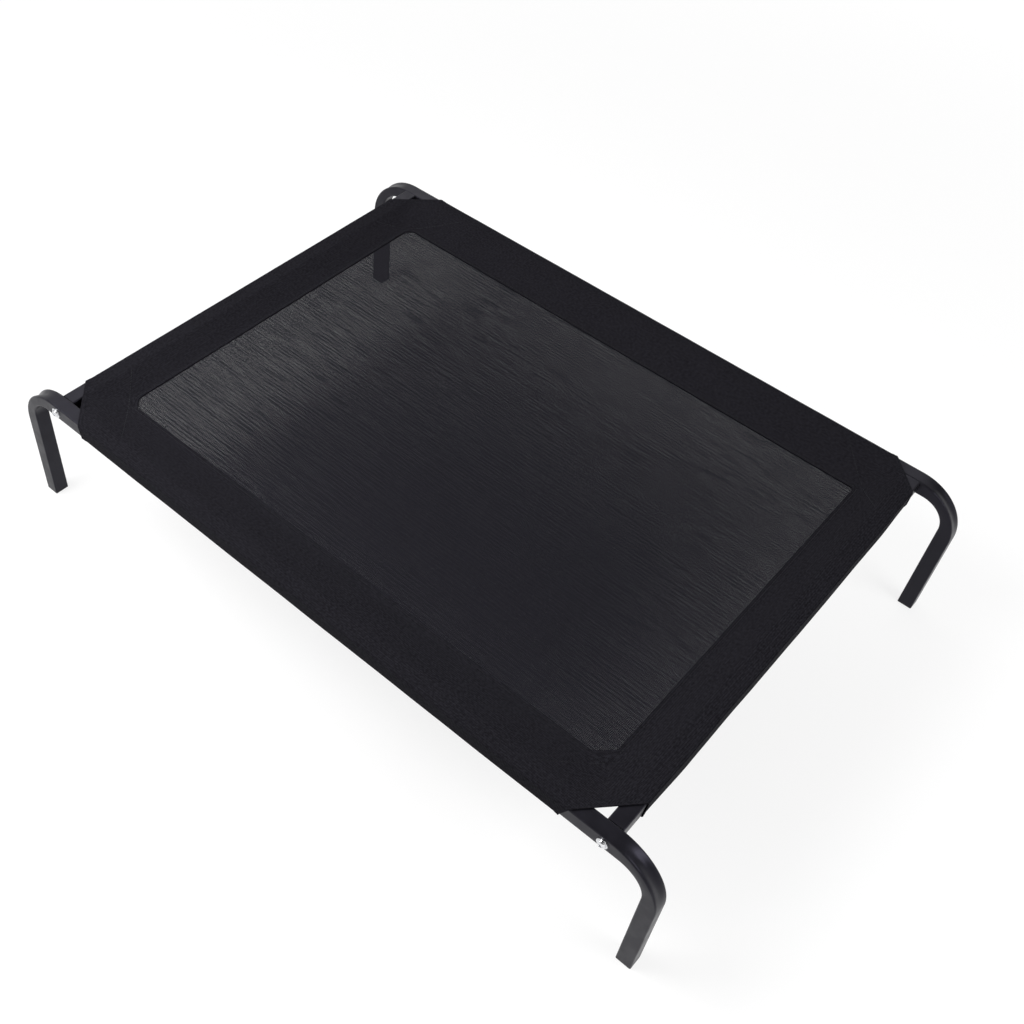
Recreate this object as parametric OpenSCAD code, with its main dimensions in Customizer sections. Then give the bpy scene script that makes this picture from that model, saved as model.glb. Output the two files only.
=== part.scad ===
// Raised dog cot: a bolted frame of square steel tube that holds a stretched mesh cover off the floor.
// X runs along the long rails, Y across the cot and Z up.
// The origin is on the floor, in the middle of the four feet.

/* [Frame] */
// Outside width of the square tube
tube_w = 22; // [17:0.5:25]
// Wall thickness of the tube
tube_wall = 1.2; // [1:0.1:1.5]
// Outside corner radius of the tube
tube_edge_r = 1.8; // [1.7:0.1:2.4]
// Distance between the legs' centre lines, along the cot
leg_spacing = 1081; // [900:1:1300]
// Distance between the long rails' centre lines
rail_spacing = 729; // [550:1:900]
// Distance from a leg's centre line in to the nearest cross rail's centre line
cross_inset = 71.5; // [66:0.5:100]
// Height of the tubes' top faces above the floor
rail_top = 226.5; // [160:0.5:320]

/* [Bends] */
// Inside radius of the bend from rail to leg
bend_inner_r = 38.5; // [30:0.5:45]
// Outside radius of the bend, wide because the outer wall is drawn flat as the tube is bent
bend_outer_r = 76; // [62:0.5:78]
// Depth of the dish in the bend's outer wall, halfway round
dish_depth = 2; // [1:0.1:2.4]
// Radius of the dish across the tube
dish_r = 15; // [10:0.5:16]
// Angle by which the dish stops short of each end of the bend
dish_margin = 6; // [3:1:12]

/* [Splices] */
// Length of the square tube that joins the two halves of a long rail
splice_len = 160; // [80:5:240]
// Wall thickness of the splice tube
splice_wall = 1.5; // [1:0.1:2]
// Clearance between the splice and the rail around it
splice_gap = 0.2; // [0.1:0.05:0.3]

/* [Bolts] */
// Thread diameter of the bolts
bolt_d = 6; // [5:0.5:8]
// Length of a bolt under its head
bolt_len = 45; // [38:1:50]
// Diameter of the domed bolt head
head_d = 11.5; // [10.5:0.5:14]
// Height of the bolt head
head_h = 4; // [3.2:0.1:5]
// Height of the straight rim under the head's dome
head_rim = 0.8; // [0.4:0.1:1.2]
// Width of the hexagon socket in the head, across its flats
socket_w = 4; // [3:0.5:5]
// Depth of the hexagon socket
socket_depth = 2.2; // [1.5:0.1:2.6]
// Outside diameter of the washer
washer_d = 15; // [13:0.5:16]
// Thickness of the washer
washer_t = 1.6; // [1:0.1:2]
// Clearance round a bolt where it passes through a rail or a washer, on the diameter
bolt_clearance = 0.6; // [0.3:0.1:0.9]

/* [Inserts] */
// Length of the threaded insert in each end of a cross rail
insert_len = 30; // [20:1:40]
// Clearance between the insert and the cross rail around it
insert_gap = 0.1; // [0.05:0.05:0.25]
// Clearance on the diameter between a bolt's thread and the insert's
thread_clearance = 0.1; // [0.05:0.05:0.2]

/* [Feet] */
// Thickness of the foot's pad under the end of the leg
pad_t = 2.5; // [1.5:0.5:5]
// Chamfer round the underside of the pad
pad_chamfer = 0.8; // [0.4:0.1:1.2]
// Length of the plug inside the leg
plug_len = 22; // [14:1:30]
// Clearance between the plug's fins and the leg around them
plug_gap = 0.1; // [0.05:0.05:0.25]
// Height of each fin round the plug
fin_h = 1.6; // [1:0.1:2.5]
// Depth of the fins
fin_depth = 1.4; // [0.8:0.1:2]
// Number of fins on each plug
fin_count = 3; // [2:1:4]

/* [Cover] */
// Thickness of one ply of the bands
ply_t = 1; // [0.6:0.1:1.5]
// Thickness of the mesh panel
mesh_t = 0.8; // [0.5:0.1:1.2]
// Clearance between a sleeve and the tube inside it
sleeve_gap = 0.2; // [0.1:0.05:0.3]
// Radius of the sleeve's inside corners round the tube
sleeve_r = 1.5; // [1:0.1:1.6]
// Drop from the tubes' top faces to the middle of the mesh
seam_drop = 15; // [8:0.5:18]
// Width of a long band, from its rail's centre line to the edge of the mesh
long_band = 73.5; // [50:0.5:110]
// Width of a short band, from its cross rail's centre line to the edge of the mesh
short_band = 54.5; // [45:0.5:90]
// Width of the flat strip where the band's plies are sewn to the mesh
seam_w = 12; // [8:1:16]
// How much of the mesh is tucked into that strip
seam_tuck = 10; // [5:1:11]
// Size of the small corner that the bands cut off the mesh
mesh_corner = 14; // [6:1:24]
// Distance from the crossing of the rails' centre lines to the cover's 45 degree cut, along either rail
corner_cut = 40.5; // [34:0.5:60]

/* [Hidden] */
$fn = 64;

CORNERS = [["front_left", -1, -1], ["front_right", 1, -1], ["back_left", -1, 1], ["back_right", 1, 1]];
CORNER_PIECES = ["leg_rail", "insert", "bolt", "washer", "foot_plug"];
LONG_SIDES = [["front", -1], ["back", 1]];
SHORT_SIDES = [["left", -1], ["right", 1]];

coat_black = [0.10, 0.10, 0.11];
steel_grey = [0.55, 0.56, 0.58];
bolt_silver = [0.80, 0.80, 0.82];
plastic_black = [0.06, 0.06, 0.06];
band_black = [0.12, 0.12, 0.13];
mesh_grey = [0.27, 0.27, 0.29];

// Overlap by which a cutting solid passes the face that it cuts
cut_over = 1;
// Smallest corner radius inside a tube
least_r = 0.2;

tube_half = tube_w / 2;
cavity_w = tube_w - 2 * tube_wall;
cavity_r = tube_edge_r - tube_wall;
leg_x = leg_spacing / 2;
rail_y = rail_spacing / 2;
cross_x = leg_x - cross_inset;
rail_mid = rail_top - tube_half;

// Centres of the bend's outer and inner arcs, in the XZ plane
outer_cx = leg_x + tube_half - bend_outer_r;
outer_cz = rail_top - bend_outer_r;
inner_cx = leg_x - tube_half - bend_inner_r;
inner_cz = rail_top - tube_w - bend_inner_r;
inside_depth = max(inner_cx - outer_cx, inner_cz - outer_cz) + cut_over;

// The dish follows an arc of a larger radius than the outer wall, so it runs out before both ends of the bend
dish_half_angle = 45 - dish_margin;
dish_half_chord = bend_outer_r * sin(dish_half_angle);
dish_rise = bend_outer_r * (1 - cos(dish_half_angle)) - dish_depth;
dish_path_r = (pow(dish_half_chord, 2) + pow(dish_rise, 2)) / (2 * dish_rise);
dish_shift = bend_outer_r - dish_depth - dish_path_r;

// Radius of the sphere that domes a bolt head
head_dome_r = (pow(head_d / 2, 2) + pow(head_h - head_rim, 2)) / (2 * (head_h - head_rim));

// Heights in the cover are measured from the tubes' middle
seam_level = tube_half - seam_drop;
sleeve_in = tube_half + sleeve_gap;
sleeve_out = sleeve_in + ply_t;
mesh_x = cross_x - short_band;
mesh_y = rail_y - long_band;

// The cover's cut corners lie on the line where |x| + |y| is this sum
cut_sum = cross_x + rail_y - corner_cut;
// The mitre between two bands runs from the mesh's corner to the inside corner of the tubes
mitre_x = short_band - tube_half;
mitre_y = long_band - tube_half;
mitre_cut = (cut_sum - mesh_x - mesh_y) / (mitre_x + mitre_y);
mitre_end = [mesh_x + mitre_cut * mitre_x, mesh_y + mitre_cut * mitre_y];
mitre_start = [
    mesh_x - mesh_corner * mitre_x / (mitre_x + mitre_y),
    mesh_y - mesh_corner * mitre_y / (mitre_x + mitre_y)
];

// Point at an angle on a circle
function on_circle(centre, r, angle) = centre + r * [cos(angle), sin(angle)];

// Points on an arc about a centre
function arc(centre, r, from, to, steps = 6) =
    [for (i = [0:steps]) on_circle(centre, r, from + (to - from) * i / steps)];

// The points of one half of an outline in reverse order, turned to the other half by a sign for each axis
function other_half(points, sx, sy) =
    [for (i = [len(points) - 1:-1:0]) [sx * points[i][0], sy * points[i][1]]];

// Mirrors a piece from the back right to the side of each sign given
module mirrored(sx, sy) {
    mirror([sx < 0 ? 1 : 0, 0, 0])
        mirror([0, sy < 0 ? 1 : 0, 0])
            children();
}

// Turns an outline so that its x lies along Y, its y along Z and its extrusion along X
module along_x() {
    rotate([90, 0, 90]) children();
}

// A square with rounded corners, about its middle
module rounded_square(w, r) {
    square([w, w - 2 * r], center = true);
    square([w - 2 * r, w], center = true);
    for (sx = [-1, 1], sy = [-1, 1])
        translate([sx * (w / 2 - r), sy * (w / 2 - r)])
            circle(r);
}

// Section of a square tube
module tube_section(w, wall, edge_r) {
    difference() {
        rounded_square(w, edge_r);
        rounded_square(w - 2 * wall, max(edge_r - wall, least_r));
    }
}

// Outline of a disc of the given radius whose rim has the tube's rounded edges
module rim_outline(radius, half, edge_r) {
    translate([0, -half])
        square([radius - edge_r, 2 * half]);
    translate([0, -half + edge_r])
        square([radius, 2 * (half - edge_r)]);
    for (s = [-1, 1])
        translate([radius - edge_r, s * (half - edge_r)])
            circle(edge_r);
}

// Outline of the space inside the bend, up to the inner wall and its rounded edges
module inside_outline(radius, half, edge_r, depth) {
    difference() {
        translate([-depth, -half - cut_over])
            square([depth + radius + edge_r, 2 * (half + cut_over)]);
        translate([radius, -half + edge_r])
            square([2 * edge_r, 2 * (half - edge_r)]);
        for (s = [-1, 1])
            translate([radius + edge_r, s * (half - edge_r)])
                circle(edge_r);
    }
}

// The space inside the bend: a quarter turn with a straight run under the rail and one beside the leg
module inside_of_bend(radius, half, edge_r) {
    translate([inner_cx, 0, inner_cz])
        rotate([90, 0, 0])
            rotate_extrude(angle = 90)
                inside_outline(radius, half, edge_r, 0);
    translate([inner_cx - inside_depth, 0, inner_cz])
        along_x()
            linear_extrude(inside_depth)
                rotate(90)
                    inside_outline(radius, half, edge_r, inside_depth);
    translate([inner_cx, 0, inner_cz - inside_depth])
        linear_extrude(inside_depth)
            inside_outline(radius, half, edge_r, inside_depth);
}

// The ring that presses the dish into the outer wall
module dish_ring(grow) {
    translate([outer_cx + dish_shift * cos(45), 0, outer_cz + dish_shift * sin(45)])
        rotate([90, 0, 0])
            rotate_extrude(angle = 90)
                translate([dish_path_r + dish_r, 0])
                    circle(dish_r - grow);
}

// The bent tube's body, grown by a wall; a negative growth gives the hollow inside it
module bent_body(grow, rail_start, leg_end) {
    half = tube_half + grow;
    edge_r = tube_edge_r + grow;
    translate([rail_start, 0, rail_mid])
        along_x()
            linear_extrude(outer_cx - rail_start)
                rounded_square(2 * half, edge_r);
    difference() {
        translate([outer_cx, 0, outer_cz])
            rotate([90, 0, 0])
                rotate_extrude(angle = 90)
                    rim_outline(bend_outer_r + grow, half, edge_r);
        inside_of_bend(bend_inner_r - grow, half, edge_r);
        dish_ring(grow);
    }
    translate([leg_x, 0, leg_end])
        linear_extrude(outer_cz - leg_end)
            rounded_square(2 * half, edge_r);
}

// One half of a long rail with its leg, bored for the bolt
module leg_rail() {
    color(coat_black)
        translate([0, rail_y, 0])
            difference() {
                bent_body(0, 0, pad_t);
                bent_body(-tube_wall, -cut_over, pad_t - cut_over);
                translate([cross_x, 0, rail_mid])
                    rotate([90, 0, 0])
                        cylinder(d = bolt_d + bolt_clearance, h = 2 * tube_w, center = true);
            }
}

// Square tube inside a long rail, across the joint of its two halves
module splice() {
    color(steel_grey)
        translate([-splice_len / 2, rail_y, rail_mid])
            along_x()
                linear_extrude(splice_len)
                    tube_section(cavity_w - 2 * splice_gap, splice_wall, cavity_r);
}

// Cross rail, butted between the long rails
module cross_rail() {
    color(coat_black)
        translate([cross_x, 0, rail_mid])
            rotate([90, 0, 0])
                linear_extrude(rail_spacing - tube_w, center = true)
                    tube_section(tube_w, tube_wall, tube_edge_r);
}

// Threaded insert, pressed flush into the end of a cross rail
module insert() {
    color(steel_grey)
        translate([cross_x, rail_y - tube_half, rail_mid])
            rotate([90, 0, 0])
                difference() {
                    linear_extrude(insert_len)
                        rounded_square(cavity_w - 2 * insert_gap, cavity_r);
                    translate([0, 0, -cut_over])
                        cylinder(d = bolt_d + thread_clearance, h = insert_len + 2 * cut_over);
                }
}

// Bolt with a domed head and a hexagon socket
module bolt() {
    color(bolt_silver)
        translate([cross_x, rail_y + tube_half + washer_t, rail_mid])
            rotate([-90, 0, 0]) {
                translate([0, 0, -bolt_len])
                    cylinder(d = bolt_d, h = bolt_len);
                difference() {
                    rotate_extrude()
                        intersection() {
                            square([head_d / 2, head_h]);
                            translate([0, head_h - head_dome_r])
                                circle(head_dome_r);
                        }
                    translate([0, 0, head_h - socket_depth])
                        cylinder(d = socket_w / cos(30), h = socket_depth + cut_over, $fn = 6);
                }
            }
}

// Washer between the bolt's head and the rail
module washer() {
    color(bolt_silver)
        translate([cross_x, rail_y + tube_half, rail_mid])
            rotate([-90, 0, 0])
                difference() {
                    cylinder(d = washer_d, h = washer_t);
                    translate([0, 0, -cut_over])
                        cylinder(d = bolt_d + bolt_clearance, h = washer_t + 2 * cut_over);
                }
}

// Foot: a pad under the leg's end, and a finned plug that holds it in the tube
module foot_plug() {
    fin_w = cavity_w - 2 * plug_gap;
    core_w = fin_w - 2 * fin_depth;
    fin_pitch = (plug_len - fin_h) / fin_count;
    color(plastic_black)
        translate([leg_x, rail_y, 0]) {
            translate([0, 0, pad_chamfer])
                linear_extrude(pad_t - pad_chamfer)
                    rounded_square(tube_w, tube_edge_r);
            linear_extrude(pad_chamfer)
                rounded_square(tube_w - 2 * pad_chamfer, tube_edge_r);
            translate([0, 0, pad_t])
                linear_extrude(plug_len)
                    rounded_square(core_w, cavity_r);
            for (i = [1:fin_count])
                translate([0, 0, pad_t + i * fin_pitch])
                    linear_extrude(fin_h)
                        rounded_square(fin_w, cavity_r);
        }
}

// Outline of a sleeve across its tube: one ply round the tube, then two plies that close on the mesh.
// x runs inwards from the tube's middle and y up.
module sleeve_outline(band) {
    seam_end = band + mesh_corner;
    seam_start = band - seam_w;
    mesh_half = mesh_t / 2;
    out_r = sleeve_r + ply_t;
    polygon(concat(
        [
            [seam_end, seam_level + mesh_half + ply_t],
            [seam_start, seam_level + mesh_half + ply_t],
            [tube_half, sleeve_out]
        ],
        arc([-sleeve_out + out_r, sleeve_out - out_r], out_r, 90, 180),
        arc([-sleeve_out + out_r, -sleeve_out + out_r], out_r, 180, 270),
        [
            [tube_half, -sleeve_out],
            [seam_start, seam_level - mesh_half - ply_t],
            [seam_end, seam_level - mesh_half - ply_t],
            [seam_end, seam_level - mesh_half],
            [seam_start, seam_level - mesh_half],
            [tube_half, -sleeve_in]
        ],
        arc([-sleeve_in + sleeve_r, -sleeve_in + sleeve_r], sleeve_r, 270, 180),
        arc([-sleeve_in + sleeve_r, sleeve_in - sleeve_r], sleeve_r, 180, 90),
        [
            [tube_half, sleeve_in],
            [seam_start, seam_level + mesh_half],
            [seam_end, seam_level + mesh_half]
        ]
    ));
}

// Sleeve on a long rail, cut in plan by the mesh's edge, the mitres and the 45 degree corners
module long_sleeve() {
    far_y = rail_y + sleeve_out + cut_over;
    half_plan = [
        [cut_sum - far_y, far_y],
        mitre_end,
        mitre_start,
        [mesh_x - mesh_corner, mesh_y]
    ];
    color(band_black)
        intersection() {
            translate([-cross_x, rail_y, rail_mid])
                along_x()
                    linear_extrude(2 * cross_x)
                        mirror([1, 0])
                            sleeve_outline(long_band);
            linear_extrude(rail_top + sleeve_out)
                polygon(concat(half_plan, other_half(half_plan, -1, 1)));
        }
}

// Sleeve on a cross rail, cut in plan the same way
module short_sleeve() {
    far_x = cross_x + sleeve_out + cut_over;
    half_plan = [
        [far_x, cut_sum - far_x],
        mitre_end,
        mitre_start,
        [mesh_x, mesh_y - mesh_corner]
    ];
    color(band_black)
        intersection() {
            translate([cross_x, rail_y, rail_mid])
                rotate([90, 0, 0])
                    linear_extrude(2 * rail_y)
                        mirror([1, 0])
                            sleeve_outline(short_band);
            linear_extrude(rail_top + sleeve_out)
                polygon(concat(half_plan, other_half(half_plan, 1, -1)));
        }
}

// Mesh panel, its edge tucked between the plies of the bands
module mesh_panel() {
    color(mesh_grey)
        translate([0, 0, rail_mid + seam_level])
            cube([2 * (mesh_x + seam_tuck), 2 * (mesh_y + seam_tuck), mesh_t], center = true);
}

for (c = CORNERS) {
    mirrored(c[1], c[2]) leg_rail();
    mirrored(c[1], c[2]) insert();
    mirrored(c[1], c[2]) bolt();
    mirrored(c[1], c[2]) washer();
    mirrored(c[1], c[2]) foot_plug();
}
for (side = LONG_SIDES) {
    mirrored(1, side[1]) splice();
    mirrored(1, side[1]) long_sleeve();
}
for (side = SHORT_SIDES) {
    mirrored(side[1], 1) cross_rail();
    mirrored(side[1], 1) short_sleeve();
}
mesh_panel();
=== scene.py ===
"""Raised dog cot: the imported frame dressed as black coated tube, plated bolts and a stretched cloth cover.

Sizes are in metres. X runs along the long rails, Y across the cot and Z up, with the floor at Z = 0.
"""

from __future__ import annotations

import logging
import math
from dataclasses import dataclass, field
from enum import Enum
from typing import Callable, Iterable, Sequence

import bmesh
import bpy
from mathutils import Matrix, Vector, noise


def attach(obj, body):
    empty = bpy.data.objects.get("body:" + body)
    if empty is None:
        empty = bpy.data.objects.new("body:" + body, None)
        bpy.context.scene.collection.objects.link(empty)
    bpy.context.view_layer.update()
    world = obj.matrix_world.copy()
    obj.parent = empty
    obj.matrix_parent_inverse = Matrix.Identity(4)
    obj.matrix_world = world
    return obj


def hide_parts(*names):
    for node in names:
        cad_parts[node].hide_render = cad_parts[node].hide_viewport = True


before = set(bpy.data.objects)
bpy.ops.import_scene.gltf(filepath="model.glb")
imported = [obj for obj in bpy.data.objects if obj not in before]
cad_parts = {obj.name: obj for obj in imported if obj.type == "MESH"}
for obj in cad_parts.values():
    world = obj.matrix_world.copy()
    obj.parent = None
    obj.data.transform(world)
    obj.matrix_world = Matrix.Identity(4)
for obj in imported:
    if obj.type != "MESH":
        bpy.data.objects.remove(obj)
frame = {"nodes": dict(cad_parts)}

LOG = logging.getLogger("raised_dog_cot")
BODY = "root"
CLOTH_COORDINATES = "cloth_place"
EDGE_RUB = "edge_rub"
FLOAT, VECTOR, COLOUR = "NodeSocketFloat", "NodeSocketVector", "NodeSocketColor"
WHITE = (1.0, 1.0, 1.0)
UP = Vector((0.0, 0.0, 1.0))

Point = tuple[float, float, float]
Colour = tuple[float, float, float]
Pair = tuple[float, float]
Mapped = tuple[float, float, float, float]
Socket = bpy.types.NodeSocket


def smooth_step(low: float, high: float, value: float) -> float:
    """A smooth rise from 0 to 1.

    Args:
        low: Value at which the rise starts.
        high: Value at which it ends.
        value: Value to place on the rise.

    Returns:
        The height of the rise, from 0 to 1.
    """
    t = min(max((value - low) / (high - low), 0.0), 1.0)
    return t * t * (3.0 - 2.0 * t)


def ripple(*place: float) -> float:
    """Smooth noise from about -1 to 1 at a place of up to three numbers, the same on each run."""
    return noise.noise(Vector((*place, 0.0, 0.0)[:3]))


def spread(low: float, high: float, count: int) -> list[float]:
    """Evenly spaced values from low to high, both included."""
    return [low + (high - low) * i / (count - 1) for i in range(count)]


def turns(count: int) -> list[float]:
    """Angles of evenly spaced points round a circle."""
    return [2 * math.pi * i / count for i in range(count)]


def end_of(place: float) -> int:
    """1 for a place past the middle of a side, and -1 for one before it."""
    return 1 if place > 0 else -1


def under_tube(rise: float) -> float:
    """0 on the tube's top and upper ply, where the rise is 1, and 1 below it, where the rise is -1."""
    return 0.5 - 0.5 * rise


@dataclass(frozen=True)
class CornerCut:
    """How the cover is cut and sewn at a corner of the cot.

    Signs are the corner's along X and Y. The cut lies where the distances along X and Y add up to cut_sum.
    Turn takes it from 45 degrees, nearer to the corner on the long sleeve. The bands hide mesh_corner of the
    mesh's edge. From the top to the bottom of the sleeve's outer wall the cut draws back by long_slant or
    short_slant. Flare is how far the lower ply's end runs on for each metre in from the fold.
    """

    label: str
    signs: tuple[int, int]
    cut_sum: float
    mesh_corner: float
    flare: float
    long_slant: float = 0.0035
    short_slant: float = 0.0035
    turn: float = 0.0


class Corner(Enum):
    """A corner of the cot, with the cut of the cover there."""

    FRONT_LEFT = CornerCut("front_left", (-1, -1), cut_sum=0.7940, mesh_corner=0.0145, flare=1.5)
    FRONT_RIGHT = CornerCut("front_right", (1, -1), cut_sum=0.7930, mesh_corner=0.0220, flare=0.0,
                            long_slant=0.0090, short_slant=-0.0056, turn=0.046)
    BACK_LEFT = CornerCut("back_left", (-1, 1), cut_sum=0.7930, mesh_corner=0.0095, flare=0.6)
    BACK_RIGHT = CornerCut("back_right", (1, 1), cut_sum=0.8080, mesh_corner=0.0030, flare=0.3)


class Side(Enum):
    """A side of the cot: its name, the way along its tube, and the corners where that way starts and ends."""

    FRONT = ("front", (1, 0), Corner.FRONT_LEFT, Corner.FRONT_RIGHT)
    RIGHT = ("right", (0, 1), Corner.FRONT_RIGHT, Corner.BACK_RIGHT)
    BACK = ("back", (-1, 0), Corner.BACK_RIGHT, Corner.BACK_LEFT)
    LEFT = ("left", (0, -1), Corner.BACK_LEFT, Corner.FRONT_LEFT)

    def __init__(self, label: str, way: tuple[int, int], start: Corner, end: Corner) -> None:
        """Names what the side's value holds.

        Args:
            label: Name of the side, as in the nodes' names.
            way: The way along its tube, in X and Y.
            start: The corner where that way starts, kept under -1.
            end: The corner where it ends, kept under 1.
        """
        self.label = label
        self.way = way
        self.cuts = {-1: start.value, 1: end.value}

    @property
    def is_long(self) -> bool:
        """True for the sides on the long rails."""
        return self.way[0] != 0


@dataclass(frozen=True)
class CotSizes:
    """Sizes that the cot's parts share."""

    tube: float = 0.022
    wall: float = 0.0012
    edge_radius: float = 0.0018
    leg_x: float = 0.5405
    rail_y: float = 0.3645
    cross_x: float = 0.469
    rail_top: float = 0.2265
    foot_pad: float = 0.0025
    mesh_x: float = 0.4145
    mesh_y: float = 0.291
    mesh_z: float = 0.2115

    @property
    def half(self) -> float:
        """Half the tube's width."""
        return self.tube / 2

    @property
    def rail_mid(self) -> float:
        """Height of the rails' centre lines."""
        return self.rail_top - self.half

    def tube_line(self, side: Side) -> float:
        """Distance of a side's tube from the middle of the cot."""
        return self.rail_y if side.is_long else self.cross_x

    def mesh_edge(self, side: Side) -> float:
        """Distance of a side's mesh edge from the middle of the cot."""
        return self.mesh_y if side.is_long else self.mesh_x

    def mesh_end(self, side: Side) -> float:
        """Half the length of a side's mesh edge."""
        return self.mesh_x if side.is_long else self.mesh_y

    def cross_line(self, side: Side) -> float:
        """Distance from the middle of a side to the tubes that it meets."""
        return self.cross_x if side.is_long else self.rail_y


class Graph:
    """Adds nodes to one node tree and links them."""

    # Places of the share, both colours and the result among the sockets of a Mix node for colours
    MIX_INPUTS = (0, 6, 7)
    MIX_RESULT = 2

    def __init__(self, tree: bpy.types.NodeTree) -> None:
        """Starts on the tree of a material, a world or a group, and empties it."""
        self.tree = tree
        self.tree.nodes.clear()

    def node(self, kind: str, *values: object, **settings: object) -> bpy.types.Node:
        """Adds a node.

        Args:
            kind: Type of the node.
            values: Sockets or plain values for its first inputs, in order.
            settings: Its settings by name.

        Returns:
            The new node.
        """
        made = self.tree.nodes.new(kind)
        for name, value in settings.items():
            setattr(made, name, value)
        for socket, value in zip(made.inputs, values):
            self.feed(socket, value)
        return made

    def feed(self, target: Socket, value: object) -> None:
        """Links a socket to the target, or sets a plain value on it.

        Args:
            target: The input that is fed.
            value: A socket, a number, or the parts of a vector or colour.
        """
        if isinstance(value, bpy.types.NodeSocket):
            self.tree.links.new(value, target)
        elif target.type == "RGBA" and len(value) == 3:
            target.default_value = (*value, 1.0)
        else:
            target.default_value = value

    def feeds(self, node: bpy.types.Node, **values: object) -> None:
        """Feeds several inputs of a node, named with underscores in place of spaces."""
        for name, value in values.items():
            self.feed(node.inputs[name.replace("_", " ")], value)

    def math(self, operation: str, *values: object) -> Socket:
        """Works out one of the Math node's operations on sockets or numbers."""
        return self.node("ShaderNodeMath", *values, operation=operation).outputs[0]

    def ranged(self, value: Socket, low: object, high: object, to_low: object, to_high: object) -> Socket:
        """Maps a value from one range to another, smoothly and held at both ends."""
        ends = (low, high, to_low, to_high)
        return self.node("ShaderNodeMapRange", value, *ends, interpolation_type="SMOOTHSTEP").outputs[0]

    def blend(self, share: object, first: object, second: object) -> Socket:
        """Mixes two colours.

        Args:
            share: Share of the second colour, from 0 to 1.
            first: The first colour.
            second: The second colour.

        Returns:
            The socket with the mixed colour.
        """
        made = self.node("ShaderNodeMix", data_type="RGBA")
        for socket, value in zip(self.MIX_INPUTS, (share, first, second)):
            self.feed(made.inputs[socket], value)
        return made.outputs[self.MIX_RESULT]

    def parts(self, vector: Socket) -> Sequence[Socket]:
        """Parts of a place along X, Y and Z."""
        return self.node("ShaderNodeSeparateXYZ", vector).outputs

    def scaled(self, vector: Socket, x: object, y: object, z: object = 0.0) -> Socket:
        """Multiplies a place by a factor along each axis."""
        factors = self.node("ShaderNodeCombineXYZ", x, y, z).outputs[0]
        return self.node("ShaderNodeVectorMath", vector, factors, operation="MULTIPLY").outputs[0]

    def noise(self, vector: Socket, scale: object, detail: float) -> Socket:
        """Adds a noise texture.

        Args:
            vector: Place on the surface.
            scale: How fine the noise is.
            detail: How many finer layers it has.

        Returns:
            The socket with the noise, from 0 to 1.
        """
        made = self.node("ShaderNodeTexNoise")
        self.feeds(made, Vector=vector, Scale=scale, Detail=detail)
        return made.outputs[0]

    def place(self, kind: str) -> Socket:
        """Place on a piece, for Object, or the way that is looked, for a world's Generated."""
        return self.node("ShaderNodeTexCoord").outputs[kind]

    def attribute(self, name: str, output: str) -> Socket:
        """Reads an attribute of the mesh."""
        return self.node("ShaderNodeAttribute", attribute_name=name).outputs[output]

    def group(self, tree: bpy.types.NodeTree, **values: object) -> Sequence[Socket]:
        """Places a node group.

        Args:
            tree: The group's node tree.
            values: What its inputs are fed, named with underscores in place of spaces.

        Returns:
            The group's outputs, found by name.
        """
        made = self.node("ShaderNodeGroup", node_tree=tree)
        self.feeds(made, **values)
        return made.outputs


GroupStart = tuple[Graph, Sequence[Socket], bpy.types.Node]


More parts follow.
